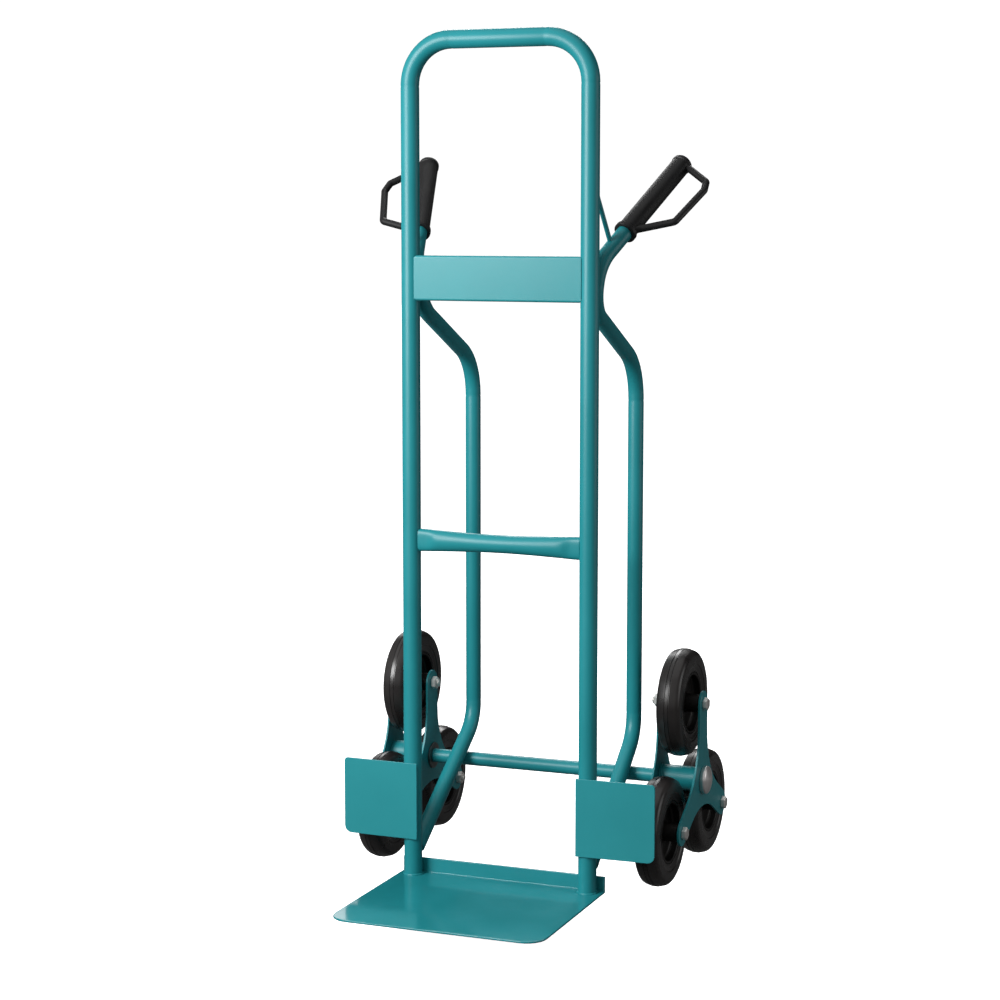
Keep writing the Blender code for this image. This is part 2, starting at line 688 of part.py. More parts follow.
def tyre_profile():
    """Rounded solid tyre section as (x, radius), from one bead round to the other."""
    half, outer = TYRE_HALF_WIDTH, WHEEL_RADIUS
    bead = RIM_RADIUS + GAP
    right = [(0.83 * half, bead), (half, outer - 0.019), (0.90 * half, outer - 0.008)]
    right += [(0.62 * half, outer - 0.002), (0.25 * half, outer)]
    left = [(-x, radius) for x, radius in reversed(right)]
    return right + left


def rim_profile():
    """Wheel body section as (x, radius): hub, thin web and the band under the tyre."""
    band, web, hub = RIM_HALF_WIDTH, WEB_HALF_THICKNESS, WHEEL_HUB_HALF_LENGTH
    bore = BOLT_RADIUS + GAP
    right = [(hub, bore), (hub, WHEEL_HUB_RADIUS - 0.001), (web, WHEEL_HUB_RADIUS + 0.001)]
    right += [(web, RIM_RADIUS - 0.006), (band, RIM_RADIUS - 0.004), (band, RIM_RADIUS)]
    left = [(-x, radius) for x, radius in reversed(right)]
    return right + left


def build_wheel(side, arm):
    """Solid rubber tyre on a wheel body."""
    centre = cluster_centre(side) + arm_offset(ARMS[arm])
    where = f"{side_name(side)}_{arm}"
    tyre = turned_ring(tyre_profile(), WHEEL_SEGMENTS, centre)
    make_object(f"tyre_{where}", tyre, BLACK_RUBBER, centre)
    rim = turned_ring(rim_profile(), WHEEL_SEGMENTS, centre)
    make_object(f"wheel_body_{where}", rim, BLACK_RIM, centre)


def build_cluster(side):
    """Everything that turns about the axle on one side."""
    build_spider(side, "inner")
    build_spider(side, "outer")
    build_hub_tube(side)
    for arm in ARMS:
        build_bolt(side, arm)
        build_nut(side, arm)
        build_wheel(side, arm)


def build_truck():
    """The whole sack truck."""
    clear_scene()
    build_main_frame()
    build_cross_plate()
    build_mid_cross_tube()
    build_toe_plate()
    build_axle()
    for side in (1, -1):
        build_side_rail(side)
        build_handle_brace(side)
        build_hand_grip(side)
        build_wheel_guard(side)
        build_washer(side)
        build_hub_cap(side)
        build_cluster(side)


build_truck()
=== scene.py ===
"""Dresses the stair-climbing sack truck: tubes, plates, wheels, grips, their finishes and a plain studio."""
import logging
import math
from contextlib import contextmanager
from dataclasses import dataclass
from enum import Enum
from typing import Any, Iterator, Optional, Sequence

import bpy
from mathutils import Matrix, Vector


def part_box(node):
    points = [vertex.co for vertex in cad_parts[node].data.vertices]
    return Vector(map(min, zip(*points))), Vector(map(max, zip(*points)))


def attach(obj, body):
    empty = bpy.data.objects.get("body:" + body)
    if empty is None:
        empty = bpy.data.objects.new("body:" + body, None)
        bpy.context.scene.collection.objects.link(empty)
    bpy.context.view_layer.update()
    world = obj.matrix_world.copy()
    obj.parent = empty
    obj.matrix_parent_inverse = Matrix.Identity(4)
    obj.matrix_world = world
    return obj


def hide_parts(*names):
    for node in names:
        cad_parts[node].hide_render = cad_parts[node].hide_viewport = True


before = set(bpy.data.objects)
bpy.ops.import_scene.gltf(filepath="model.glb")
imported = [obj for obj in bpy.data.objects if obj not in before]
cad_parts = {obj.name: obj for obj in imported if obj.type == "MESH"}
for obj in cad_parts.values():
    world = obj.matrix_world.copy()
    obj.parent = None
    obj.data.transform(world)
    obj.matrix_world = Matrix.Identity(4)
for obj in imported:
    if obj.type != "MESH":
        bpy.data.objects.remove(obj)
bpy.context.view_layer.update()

LOG = logging.getLogger("sack_truck")

MM = 0.001
MERGE = 0.00001
ROUND_SIDES = 48
ROD_SIDES = 24
BEND_STEPS = 14
# degrees between faces that are one flat face, and between faces whose edge is rolled over
FLAT_ANGLE = 1.0
EDGE_ANGLE = 50.0
# the part of a noise pattern's range that a finish spreads over its own
PATTERN_LOW = 0.3
PATTERN_HIGH = 0.7

UP = Vector((0.0, 0.0, 1.0))
ACROSS = Vector((1.0, 0.0, 0.0))
MIRROR = Matrix.Scale(-1.0, 4, ACROSS)

Station = tuple[float, float]


class Side(Enum):
    """The two halves of the truck, with the sign of X on each."""

    LEFT = -1
    RIGHT = 1

    @property
    def label(self) -> str:
        """The side's name as it stands in node names."""
        return self.name.lower()


class Arm(Enum):
    """The arms of a wheel cluster, with the angle of each from straight up, towards the rear."""

    TOP = 0.0
    REAR = 120.0
    FRONT = 240.0

    @property
    def label(self) -> str:
        """The arm's name as it stands in node names."""
        return self.name.lower()


# ---------------------------------------------------------------- modelling


def activate(piece: bpy.types.Object) -> None:
    """Leaves only this piece selected and active.

    Args:
        piece: the object that the next operators act on.
    """
    bpy.ops.object.select_all(action="DESELECT")
    piece.select_set(True)
    bpy.context.view_layer.objects.active = piece


@contextmanager
def editing(piece: bpy.types.Object) -> Iterator[None]:
    """Holds a piece in edit mode.

    Args:
        piece: the mesh object to edit.
    """
    activate(piece)
    bpy.ops.object.mode_set(mode="EDIT")
    try:
        yield
    finally:
        bpy.ops.object.mode_set(mode="OBJECT")


def begin_ring(name: str, centre: Vector, along: Vector, radius: float, sides: int) -> bpy.types.Object:
    """Adds the circle that a tube or turned piece grows from.

    Args:
        name: the piece's name.
        centre: middle of the circle.
        along: direction that the piece will grow in.
        radius: radius of the circle.
        sides: points round the circle.

    Returns:
        The new object, with its place in its mesh.
    """
    bpy.ops.object.select_all(action="DESELECT")
    turn = along.to_track_quat("Z", "Y").to_euler()
    bpy.ops.mesh.primitive_circle_add(vertices=sides, radius=radius, location=centre, rotation=turn)
    piece = bpy.context.object
    piece.name = name
    piece.data.name = name
    bpy.ops.object.transform_apply(location=True, rotation=True, scale=True)
    return piece


def carry_ring(move: Vector, centre: Vector, scale: Sequence[float] = (1.0, 1.0, 1.0)) -> Vector:
    """Extrudes the selected ring and widens or narrows it where it lands.

    Args:
        move: how far the ring goes.
        centre: middle of the ring before the move.
        scale: factors along X, Y and Z about the new middle.

    Returns:
        The ring's new middle.
    """
    bpy.ops.mesh.extrude_region_move(TRANSFORM_OT_translate={"value": move})
    landed = centre + move
    if tuple(scale) != (1.0, 1.0, 1.0):
        bpy.ops.transform.resize(value=tuple(scale), center_override=landed)
    return landed


def close_and_smooth(piece: bpy.types.Object, angle: float = 35.0) -> bpy.types.Object:
    """Closes open ends, points the faces outwards and smooths what isn't an edge.

    Args:
        piece: the mesh object to finish.
        angle: edges sharper than this many degrees stay sharp.

    Returns:
        The same object.
    """
    with editing(piece):
        bpy.ops.mesh.select_all(action="SELECT")
        bpy.ops.mesh.remove_doubles(threshold=MERGE)
        bpy.ops.mesh.fill_holes(sides=0)
        bpy.ops.mesh.select_all(action="SELECT")
        bpy.ops.mesh.normals_make_consistent(inside=False)
    activate(piece)
    bpy.ops.object.shade_smooth_by_angle(angle=math.radians(angle))
    return piece


def apply_modifier(piece: bpy.types.Object, kind: str, **settings: Any) -> None:
    """Adds a modifier and applies it.

    Args:
        piece: the object to change.
        kind: the modifier's type.
        settings: its settings by name.
    """
    activate(piece)
    bpy.ops.object.modifier_add(type=kind)
    modifier = piece.modifiers[-1]
    for name, value in settings.items():
        setattr(modifier, name, value)
    bpy.ops.object.modifier_apply(modifier=modifier.name)


def placed_copy(source: bpy.types.Object, name: str, place: Matrix) -> bpy.types.Object:
    """Copies a finished piece, with its own mesh, and moves the mesh.

    Args:
        source: the piece that was modelled once.
        name: the copy's name.
        place: where the copy goes; a mirror is allowed.

    Returns:
        The copy.
    """
    copy = bpy.data.objects.new(name, source.data.copy())
    bpy.context.scene.collection.objects.link(copy)
    copy.data.name = name
    copy.data.transform(place)
    if place.determinant() < 0:
        with editing(copy):
            bpy.ops.mesh.select_all(action="SELECT")
            bpy.ops.mesh.flip_normals()
    return copy


def mirrored(source: bpy.types.Object, name: str) -> bpy.types.Object:
    """The left-hand twin of a right-hand piece."""
    return placed_copy(source, name, MIRROR)


def rounded_copy(node: str, name: str, edge: float) -> bpy.types.Object:
    """Copies a frame node and rolls its sharp edges over, as a punched or moulded piece has them.

    Args:
        node: the frame node to start from.
        name: the new piece's name.
        edge: width of the rolled edge.

    Returns:
        The new piece.
    """
    piece = bpy.data.objects.new(name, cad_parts[node].data.copy())
    bpy.context.scene.collection.objects.link(piece)
    piece.data.name = name
    with editing(piece):
        bpy.ops.mesh.select_all(action="SELECT")
        bpy.ops.mesh.remove_doubles(threshold=MERGE)
        bpy.ops.mesh.dissolve_limited(angle_limit=math.radians(FLAT_ANGLE))
    apply_modifier(piece, "BEVEL", width=edge, segments=3, limit_method="ANGLE",
                   angle_limit=math.radians(EDGE_ANGLE), use_clamp_overlap=True)
    close_and_smooth(piece, EDGE_ANGLE)
    # the large faces rule the shading, so that a flat sheet reflects as one plane
    apply_modifier(piece, "WEIGHTED_NORMAL", weight=100, keep_sharp=True)
    return piece


@dataclass
class TubeRun:
    """A round tube drawn along straight legs and bent at its corners.

    A press mark, a shallow ring, is left at both ends of each bend.
    """

    name: str
    corners: Sequence[Vector]
    bend_radii: Sequence[float]
    radius: float
    sides: int = ROUND_SIDES
    mark_depth: float = 0.026
    mark_length: float = 2.0 * MM

    def press_mark(self, centre: Vector, along: Vector) -> Vector:
        """Leaves a shallow ring in the wall of the tube.

        Args:
            centre: where the ring starts.
            along: direction of the tube there.

        Returns:
            Where the ring ends.
        """
        narrow = 1.0 - self.mark_depth
        centre = carry_ring(along * self.mark_length, centre, (narrow,) * 3)
        return carry_ring(along * self.mark_length, centre, (1.0 / narrow,) * 3)

    def bend(self, start: Vector, before: Vector, after: Vector, radius: float) -> Vector:
        """Bends the tube from one direction to the next.

        Args:
            start: where the bend starts.
            before: direction into the bend.
            after: direction out of it.
            radius: radius of the bend's centre line.

        Returns:
            Where the bend ends.
        """
        turn = before.angle(after)
        hinge = before.cross(after).normalized()
        middle = start + hinge.cross(before) * radius
        # spin turns the other way round its axis than the right-hand rule
        bpy.ops.mesh.spin(steps=BEND_STEPS, angle=-turn, center=middle, axis=hinge)
        return middle + Matrix.Rotation(turn, 3, hinge) @ (start - middle)

    def build(self) -> bpy.types.Object:
        """Draws the tube.

        Returns:
            The finished tube, closed at both ends.
        """
        here = self.corners[0].copy()
        along = (self.corners[1] - here).normalized()
        piece = begin_ring(self.name, here, along, self.radius, self.sides)
        marks = 2.0 * self.mark_length
        with editing(piece):
            bpy.ops.mesh.select_all(action="SELECT")
            for corner, following, radius in zip(self.corners[1:-1], self.corners[2:], self.bend_radii):
                after = (following - corner).normalized()
                reach = radius * math.tan(along.angle(after) / 2.0)
                straight = (corner - here).length - reach - marks
                here = carry_ring(along * straight, here)
                here = self.press_mark(here, along)
                here = self.bend(here, along, after, radius)
                here = self.press_mark(here, after)
                along = after
            carry_ring(self.corners[-1] - here, here)
        return close_and_smooth(piece)


@dataclass
class Turned:
    """A turned piece: a ring carried along an axis, widened or narrowed at each station.

    Each station is a distance along the axis and a radius. A closed outline comes back to
    its first station and makes a ring, such as a tyre.
    """

    name: str
    stations: Sequence[Station]
    centre: Vector
    along: Vector
    sides: int = ROUND_SIDES

    def build(self, smooth_angle: float = 35.0) -> bpy.types.Object:
        """Turns the piece.

        Args:
            smooth_angle: edges sharper than this many degrees stay sharp.

        Returns:
            The finished piece.
        """
        distance, radius = self.stations[0]
        here = self.centre + self.along * distance
        piece = begin_ring(self.name, here, self.along, radius, self.sides)
        with editing(piece):
            bpy.ops.mesh.select_all(action="SELECT")
            for next_distance, next_radius in self.stations[1:]:
                factor = next_radius / radius
                move = self.along * (next_distance - distance)
                here = carry_ring(move, here, (factor,) * 3)
                distance, radius = next_distance, next_radius
        return close_and_smooth(piece, smooth_angle)


def arc(middle: Station, radius: float, start: float, end: float, steps: int) -> list[Station]:
    """Stations round part of a circle.

    Args:
        middle: the circle's centre, as distance and radius.
        radius: radius of the circle.
        start: first angle in degrees, 0 along the axis and 90 away from it.
        end: last angle.
        steps: number of steps between them.

    Returns:
        The stations, both ends included.
    """
    angles = [math.radians(start + (end - start) * step / steps) for step in range(steps + 1)]
    return [(middle[0] + radius * math.cos(a), middle[1] + radius * math.sin(a)) for a in angles]


@dataclass
class WeldBead:
    """A rippled bead of weld, as a ring round a tube or a straight run."""

    name: str
    thickness: float = 1.7 * MM
    ripple: float = 0.7 * MM
    puddle: float = 3.0 * MM

    def roughen(self, piece: bpy.types.Object) -> bpy.types.Object:
        """Gives the bead its puddled surface.

        Args:
            piece: the smooth bead.

        Returns:
            The same bead.
        """
        puddles = bpy.data.textures.new(self.name, "CLOUDS")
        puddles.noise_scale = self.puddle
        apply_modifier(piece, "DISPLACE", texture=puddles, strength=self.ripple, mid_level=0.5,
                       texture_coords="LOCAL")
        return close_and_smooth(piece, 180.0)

    def ring(self, middle: Vector, along: Vector, radius: float) -> bpy.types.Object:
        """A bead round a tube.

        Args:
            middle: centre of the joint.
            along: direction of the tube.
            radius: radius of the tube.

        Returns:
            The bead.
        """
        outline = arc((0.0, radius), self.thickness, 0.0, 360.0, 10)
        return self.roughen(Turned(self.name, outline, middle, along, 64).build())

    def line(self, start: Vector, end: Vector) -> bpy.types.Object:
        """A straight bead with rounded ends.

        Args:
            start: first end.
            end: last end.

        Returns:
            The bead.
        """
        length = (end - start).length
        tip = arc((self.thickness, 0.0), self.thickness, 170.0, 90.0, 5)
        tail = arc((length - self.thickness, 0.0), self.thickness, 90.0, 10.0, 5)
        count = max(2, int(length / self.thickness))
        span = length - 2.0 * self.thickness
        body = [(self.thickness + span * step / count, self.thickness) for step in range(1, count)]
        stations = tip + body + tail
        return self.roughen(Turned(self.name, stations, start, (end - start).normalized(), 14).build())


@dataclass(frozen=True)
class Seam:
    """Two short upright beads on the edge of a plate, one near its foot and one near its top."""

    name: str
    node: str
    above_foot: float
    below_top: float
    set_back: float
    length: float
    thickness: float
    ripple: float = 0.5 * MM

    def lay(self, side: Side, x: float) -> list[bpy.types.Object]:
        """Lays both beads.

        Args:
            side: which half of the truck they are on.
            x: their distance from the middle of the truck.

        Returns:
            The beads.
        """
        low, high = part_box(self.node)
        beads = []
        for number, z in enumerate((low.z + self.above_foot, high.z - self.below_top)):
            start = Vector((side.value * x, low.y + self.set_back, z))
            bead = WeldBead(f"{self.name}_{side.label}_{number}", self.thickness, self.ripple)
            beads.append(bead.line(start, start + UP * self.length))
        return beads


# ---------------------------------------------------------------- finishes


def linear(hex_colour: str) -> tuple[float, float, float, float]:
    """Turns an sRGB colour to linear.

    Args:
        hex_colour: the colour as six hex digits.

    Returns:
        Red, green, blue and alpha, linear.
    """
    channels = [int(hex_colour[i:i + 2], 16) / 255.0 for i in (0, 2, 4)]
    turned = [c / 12.92 if c <= 0.04045 else ((c + 0.055) / 1.055) ** 2.4 for c in channels]
    return (turned[0], turned[1], turned[2], 1.0)


def add_node(
    tree: bpy.types.NodeTree,
    kind: str,
    settings: Optional[dict[str, Any]] = None,
    values: Optional[dict[str, Any]] = None,
    links: Optional[dict[str, bpy.types.NodeSocket]] = None,
) -> bpy.types.Node:
    """Adds a node with its settings, its socket values and its links.

    Args:
        tree: the node tree.
        kind: the node's type.
        settings: attributes of the node.
        values: input sockets and their values.
        links: input sockets and the outputs that feed them.

    Returns:
        The node.
    """
    node = tree.nodes.new(kind)
    for name, value in (settings or {}).items():
        setattr(node, name, value)
    for name, value in (values or {}).items():
        node.inputs[name].default_value = value
    for name, output in (links or {}).items():
        tree.links.new(output, node.inputs[name])
    return node


@dataclass(frozen=True)
class Finish:
    """What every finish shares: base and shade colours, gloss, and a fine and a broad unevenness.

    The fine pattern is the surface's own texture and only bends the light. The broad one is
    handling and dust: it shifts the colour and the roughness a little.
    """

    name: str
    slot: str
    base: str
    shade: str
    metallic: float
    rough_low: float
    rough_high: float
    grain_mm: float
    grain_depth_mm: float
    grain_strength: float
    patch_mm: float
    ior: float = 1.5
    specular: float = 0.5
    coat: float = 0.0
    coat_roughness: float = 0.1
    stretch: tuple[float, float, float] = (1.0, 1.0, 1.0)

    def material(self) -> bpy.types.Material:
        """Makes the finish, or finds it if it is made already.

        Returns:
            The material.
        """
        found = bpy.data.materials.get(self.name)
        if found:
            return found
        material = bpy.data.materials.new(self.name)
        material.use_nodes = True
        tree = material.node_tree
        tree.nodes.clear()
        shader = add_node(tree, "ShaderNodeBsdfPrincipled", values={
            "Metallic": self.metallic,
            "IOR": self.ior,
            "Specular IOR Level": self.specular,
            "Coat Weight": self.coat,
            "Coat Roughness": self.coat_roughness,
        })
        self.lay_patterns(tree, shader)
        add_node(tree, "ShaderNodeOutputMaterial", links={"Surface": shader.outputs["BSDF"]})
        return material

    def lay_patterns(self, tree: bpy.types.NodeTree, shader: bpy.types.Node) -> None:
        """Feeds the shader its colour, roughness and bump.

        Args:
            tree: the material's nodes.
            shader: its Principled shader.
        """
        place = add_node(tree, "ShaderNodeTexCoord")
        aim = add_node(tree, "ShaderNodeMapping", values={"Scale": self.stretch},
                       links={"Vector": place.outputs["Object"]})
        grain = add_node(tree, "ShaderNodeTexNoise",
                         values={"Scale": 1.0 / (self.grain_mm * MM), "Detail": 3.0},
                         links={"Vector": aim.outputs["Vector"]})
        patch = add_node(tree, "ShaderNodeTexNoise",
                         values={"Scale": 1.0 / (self.patch_mm * MM), "Detail": 4.0},
                         links={"Vector": place.outputs["Object"]})
        colour = add_node(tree, "ShaderNodeValToRGB", links={"Fac": patch.outputs["Fac"]})
        colour.color_ramp.elements[0].position = PATTERN_LOW
        colour.color_ramp.elements[1].position = PATTERN_HIGH
        colour.color_ramp.elements[0].color = linear(self.shade)
        colour.color_ramp.elements[1].color = linear(self.base)
        rough = add_node(tree, "ShaderNodeMapRange",
                         values={"From Min": PATTERN_LOW, "From Max": PATTERN_HIGH,
                                 "To Min": self.rough_low, "To Max": self.rough_high},
                         links={"Value": patch.outputs["Fac"]})
        bump = add_node(tree, "ShaderNodeBump",
                        values={"Strength": self.grain_strength, "Distance": self.grain_depth_mm * MM},
                        links={"Height": grain.outputs["Fac"]})
        tree.links.new(colour.outputs["Color"], shader.inputs["Base Color"])
        tree.links.new(rough.outputs["Result"], shader.inputs["Roughness"])
        tree.links.new(bump.outputs["Normal"], shader.inputs["Normal"])

    def dress(self, *pieces: bpy.types.Object) -> None:
        """Puts the finish on pieces as their only material.

        Args:
            pieces: the objects to dress.
        """
        for piece in pieces:
            piece.data.materials.clear()
            piece.data.materials.append(self.material())
            for face in piece.data.polygons:
                face.material_index = 0


# Polyester powder coat sprayed on steel and baked: a soft orange peel breaks up its gloss.
# The real peel is 1 to 3 mm wide; it is drawn at 9 mm and shallower, so that it shows.
POWDER_COAT = Finish("teal_powder_coat", "teal_paint", "208A92", "1B8087", 0.0, 0.36, 0.44,
                     grain_mm=9.0, grain_depth_mm=0.12, grain_strength=0.10, patch_mm=140.0,
                     specular=0.32, coat=0.08, coat_roughness=0.25)
# The same paint on flat sheet, where it flows out a little smoother. Its base is paler and redder than the
# tubes' base: a painted sheen that stands in for the whitish gloss the lights lay on flat sheets.
POWDER_COAT_SHEET_PAINTED_SHEEN = Finish("teal_powder_coat_on_sheet", "teal_paint", "2E9097", "2A8990", 0.0, 0.28, 0.34,
                           grain_mm=14.0, grain_depth_mm=0.10, grain_strength=0.08, patch_mm=160.0,
                           specular=0.25, coat=0.05, coat_roughness=0.20)
# The same paint on the toe plate, polished by what slides over it: it mirrors what stands on it.
POWDER_COAT_RUBBED = Finish("teal_powder_coat_rubbed_smooth", "teal_paint", "248A92", "1F8289",
                            0.0, 0.11, 0.17, grain_mm=14.0, grain_depth_mm=0.08, grain_strength=0.06,
                            patch_mm=90.0, specular=0.45, coat=0.20, coat_roughness=0.06)
# Polypropylene moulded against a spark-eroded tool: an even stipple that scatters highlights.
# The real stipple is about 0.3 mm; it is drawn at 2 mm.
GRIP_PLASTIC = Finish("moulded_polypropylene_grip", "black_grip", "19191A", "131314", 0.0, 0.44, 0.56,
                      grain_mm=2.0, grain_depth_mm=0.20, grain_strength=0.35, patch_mm=30.0, specular=0.40)
# Rubber cured in a turned mould: dull black, slightly brown, with dusty patches.
TYRE_RUBBER = Finish("cured_rubber_tyre", "tyre_rubber", "292625", "1E1B1B", 0.0, 0.24, 0.36,
                     grain_mm=3.0, grain_depth_mm=0.15, grain_strength=0.25, patch_mm=25.0, specular=0.55)
# Polypropylene wheel centre, moulded smoother than the grips.
WHEEL_PLASTIC = Finish("moulded_polypropylene_wheel", "black_wheel", "120F0E", "0B0908", 0.0, 0.36, 0.46,
                       grain_mm=4.0, grain_depth_mm=0.10, grain_strength=0.2, patch_mm=25.0, specular=0.35)
# Bright zinc electroplate on forged steel: cloudy grey metal with a fine spangle.
ZINC_PLATE = Finish("bright_zinc_plate", "zinc", "F0EEEB", "DEDCD8", 0.8, 0.34, 0.46,
                    grain_mm=2.5, grain_depth_mm=0.05, grain_strength=0.2, patch_mm=6.0)
# Zinc with a darker base, full metal and a little more roughness than the bolts' zinc; the axle washers wear
# it.
ZINC_DULL = Finish("dull_zinc_plate", "zinc", "7E8080", "5E6161", 1.0, 0.38, 0.52,
                   grain_mm=2.5, grain_depth_mm=0.05, grain_strength=0.2, patch_mm=6.0)
# Nickel-chrome plate on a pressed cap: a satin mirror with faint ripples from the press.
CHROME_PLATE = Finish("chrome_plate_on_pressed_steel", "chrome", "F2EEED", "E4E0DF", 0.85, 0.30, 0.38,
                      grain_mm=8.0, grain_depth_mm=0.08, grain_strength=0.2, patch_mm=8.0)


def settle(piece: bpy.types.Object, body: str, finish: Finish, *nodes: str) -> bpy.types.Object:
    """Gives a piece its finish, the body it rides on and the frame nodes it stands for.

    Args:
        piece: the finished piece.
        body: the body it moves with.
        finish: its finish.
        nodes: the frame nodes it replaces, if any.

    Returns:
        The same piece.
    """
    finish.dress(piece)
    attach(piece, body)
    if nodes:
        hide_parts(*nodes)
    LOG.info("%s rides on %s", piece.name, body)
    return piece


def middle_of(node: str) -> Vector:
    """The middle of a frame node's box."""
    low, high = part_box(node)
    return (low + high) / 2.0


# ---------------------------------------------------------------- frame


@dataclass
class MainFrame:
    """The tall loop of tube, the plates and tubes that tie its uprights together, and the toe plate."""

    tube_radius: float = 12.7 * MM
    bend_radius: float = 60.0 * MM
    pad_half_depth: float = 7.2 * MM
    pad_round_depth: float = 9.5 * MM
    pad_half_height: float = 15.8 * MM
    flare_start: float = 10.0 * MM
    flare_end: float = 112.0 * MM
    flare_power: float = 1.5
    flare_steps: int = 22
    press_start: float = 72.0 * MM
    press_end: float = 104.0 * MM
    press_free: float = 3.0
    press_corner: float = 5.0
    sheet_edge: float = 0.7 * MM
    toe_edge: float = 0.9 * MM
    toe_thickness: float = 3.0 * MM
    foot_weld_lift: float = 0.5 * MM
    plate_weld_reach: float = 1.5 * MM
    guard_weld_reach: float = 1.0 * MM
    plate_seam: Seam = Seam("cross_plate_weld", "cross_plate", above_foot=6.0 * MM, below_top=16.0 * MM,
                            set_back=2.0 * MM, length=10.0 * MM, thickness=1.2 * MM)
    guard_seam: Seam = Seam("guard_weld", "wheel_guard_right", above_foot=12.0 * MM, below_top=30.0 * MM,
                            set_back=4.0 * MM, length=18.0 * MM, thickness=1.3 * MM)

    def half_width(self) -> float:
        """Distance of each upright's centre line from the middle of the truck."""
        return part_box("main_frame_tube")[1].x - self.tube_radius

    def build_loop(self) -> None:
        """Bends the main tube up one side, across the top and down the other side."""
        low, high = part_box("main_frame_tube")
        x = self.half_width()
        top = high.z - self.tube_radius
        corners = [Vector((x, 0, low.z)), Vector((x, 0, top)), Vector((-x, 0, top)), Vector((-x, 0, low.z))]
        loop = TubeRun("main_loop", corners, (self.bend_radius, self.bend_radius), self.tube_radius).build()
        settle(loop, "frame", POWDER_COAT, "main_frame_tube")

    def build_mid_tube(self) -> None:
        """Draws the mid cross tube, whose ends are squeezed to tall flat pads."""
        low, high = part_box("mid_cross_tube")
        centre = middle_of("mid_cross_tube")
        round_radius = min(high.y - centre.y, self.tube_radius)
        half = (high.x - low.x) / 2.0
        steps = range(-self.flare_steps, self.flare_steps + 1)
        across = [(half * step / self.flare_steps, self.flare(abs(half * step / self.flare_steps)))
                  for step in steps]
        start = Vector((low.x, centre.y, centre.z))
        piece = begin_ring("mid_tube", start, ACROSS, round_radius, ROUND_SIDES)
        depth, height = 1.0, 1.0
        here = start
        with editing(piece):
            bpy.ops.mesh.select_all(action="SELECT")
            for index, (x, share) in enumerate(across):
                new_depth = self.blend(1.0, self.pad_round_depth / round_radius, share)
                new_height = self.blend(1.0, self.pad_half_height / round_radius, share)
                scale = (1.0, new_depth / depth, new_height / height)
                if index == 0:
                    bpy.ops.transform.resize(value=scale, center_override=here)
                else:
                    here = carry_ring(Vector((centre.x + x - here.x, 0, 0)), here, scale)
                depth, height = new_depth, new_height
        self.press_ends(piece, centre, round_radius)
        close_and_smooth(piece, 60.0)
        settle(piece, "frame", POWDER_COAT, "mid_cross_tube")

    def press_ends(self, piece: bpy.types.Object, centre: Vector, radius: float) -> None:
        """Presses the front and back of the mid tube flat near its ends.

        Args:
            piece: the mid tube.
            centre: middle of the tube.
            radius: the tube's radius where it is round.
        """
        for vertex in piece.data.vertices:
            reach = (abs(vertex.co.x - centre.x) - self.press_start) / (self.press_end - self.press_start)
            limit = self.blend(self.press_free * radius, self.pad_half_depth, self.ease(reach))
            away = vertex.co.y - centre.y
            squeeze = (1.0 + abs(away / limit) ** self.press_corner) ** (1.0 / self.press_corner)
            vertex.co.y = centre.y + away / squeeze

    def flare(self, distance: float) -> float:
        """How far the tube is squeezed at a distance from its middle: 0 where round, 1 at the ends."""
        reach = (distance - self.flare_start) / (self.flare_end - self.flare_start)
        return min(1.0, max(0.0, reach)) ** self.flare_power

    @staticmethod
    def ease(reach: float) -> float:
        """Turns a reach to a share from 0 to 1 that starts and ends gently."""
        share = min(1.0, max(0.0, reach))
        return share * share * (3.0 - 2.0 * share)

    @staticmethod
    def blend(low: float, high: float, share: float) -> float:
        """A value between two others."""
        return low + (high - low) * share

    def build_plates(self) -> None:
        """Rolls the edges of the cross plate, the toe plate and the wheel guards."""
        # the cross plate and the wheel guards take the sheet finish, whose paler base is a painted sheen
        sheets = (("cross_plate", self.sheet_edge, POWDER_COAT_SHEET_PAINTED_SHEEN),
                  ("toe_plate", self.toe_edge, POWDER_COAT_RUBBED),
                  ("wheel_guard_left", self.sheet_edge, POWDER_COAT_SHEET_PAINTED_SHEEN),
                  ("wheel_guard_right", self.sheet_edge, POWDER_COAT_SHEET_PAINTED_SHEEN))
        for node, edge, finish in sheets:
            settle(rounded_copy(node, f"{node}_sheet", edge), "frame", finish, node)

    def build_welds(self) -> None:
        """Lays the beads at the feet, the cross plate and the wheel guards."""
        x = self.half_width()
        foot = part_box("toe_plate")[0].z + self.toe_thickness + self.foot_weld_lift
        plate_edge = x - self.tube_radius + self.plate_weld_reach
        guard_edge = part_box("wheel_guard_right")[0].x + self.guard_weld_reach
        for side in Side:
            place = Vector((side.value * x, 0, foot))
            beads = [WeldBead(f"foot_weld_{side.label}").ring(place, UP, self.tube_radius)]
            beads += self.plate_seam.lay(side, plate_edge) + self.guard_seam.lay(side, guard_edge)
            for bead in beads:
                settle(bead, "frame", POWDER_COAT)

    def build(self) -> None:
        """Builds and dresses the frame."""
        self.build_loop()
        self.build_mid_tube()
        self.build_plates()
        self.build_welds()


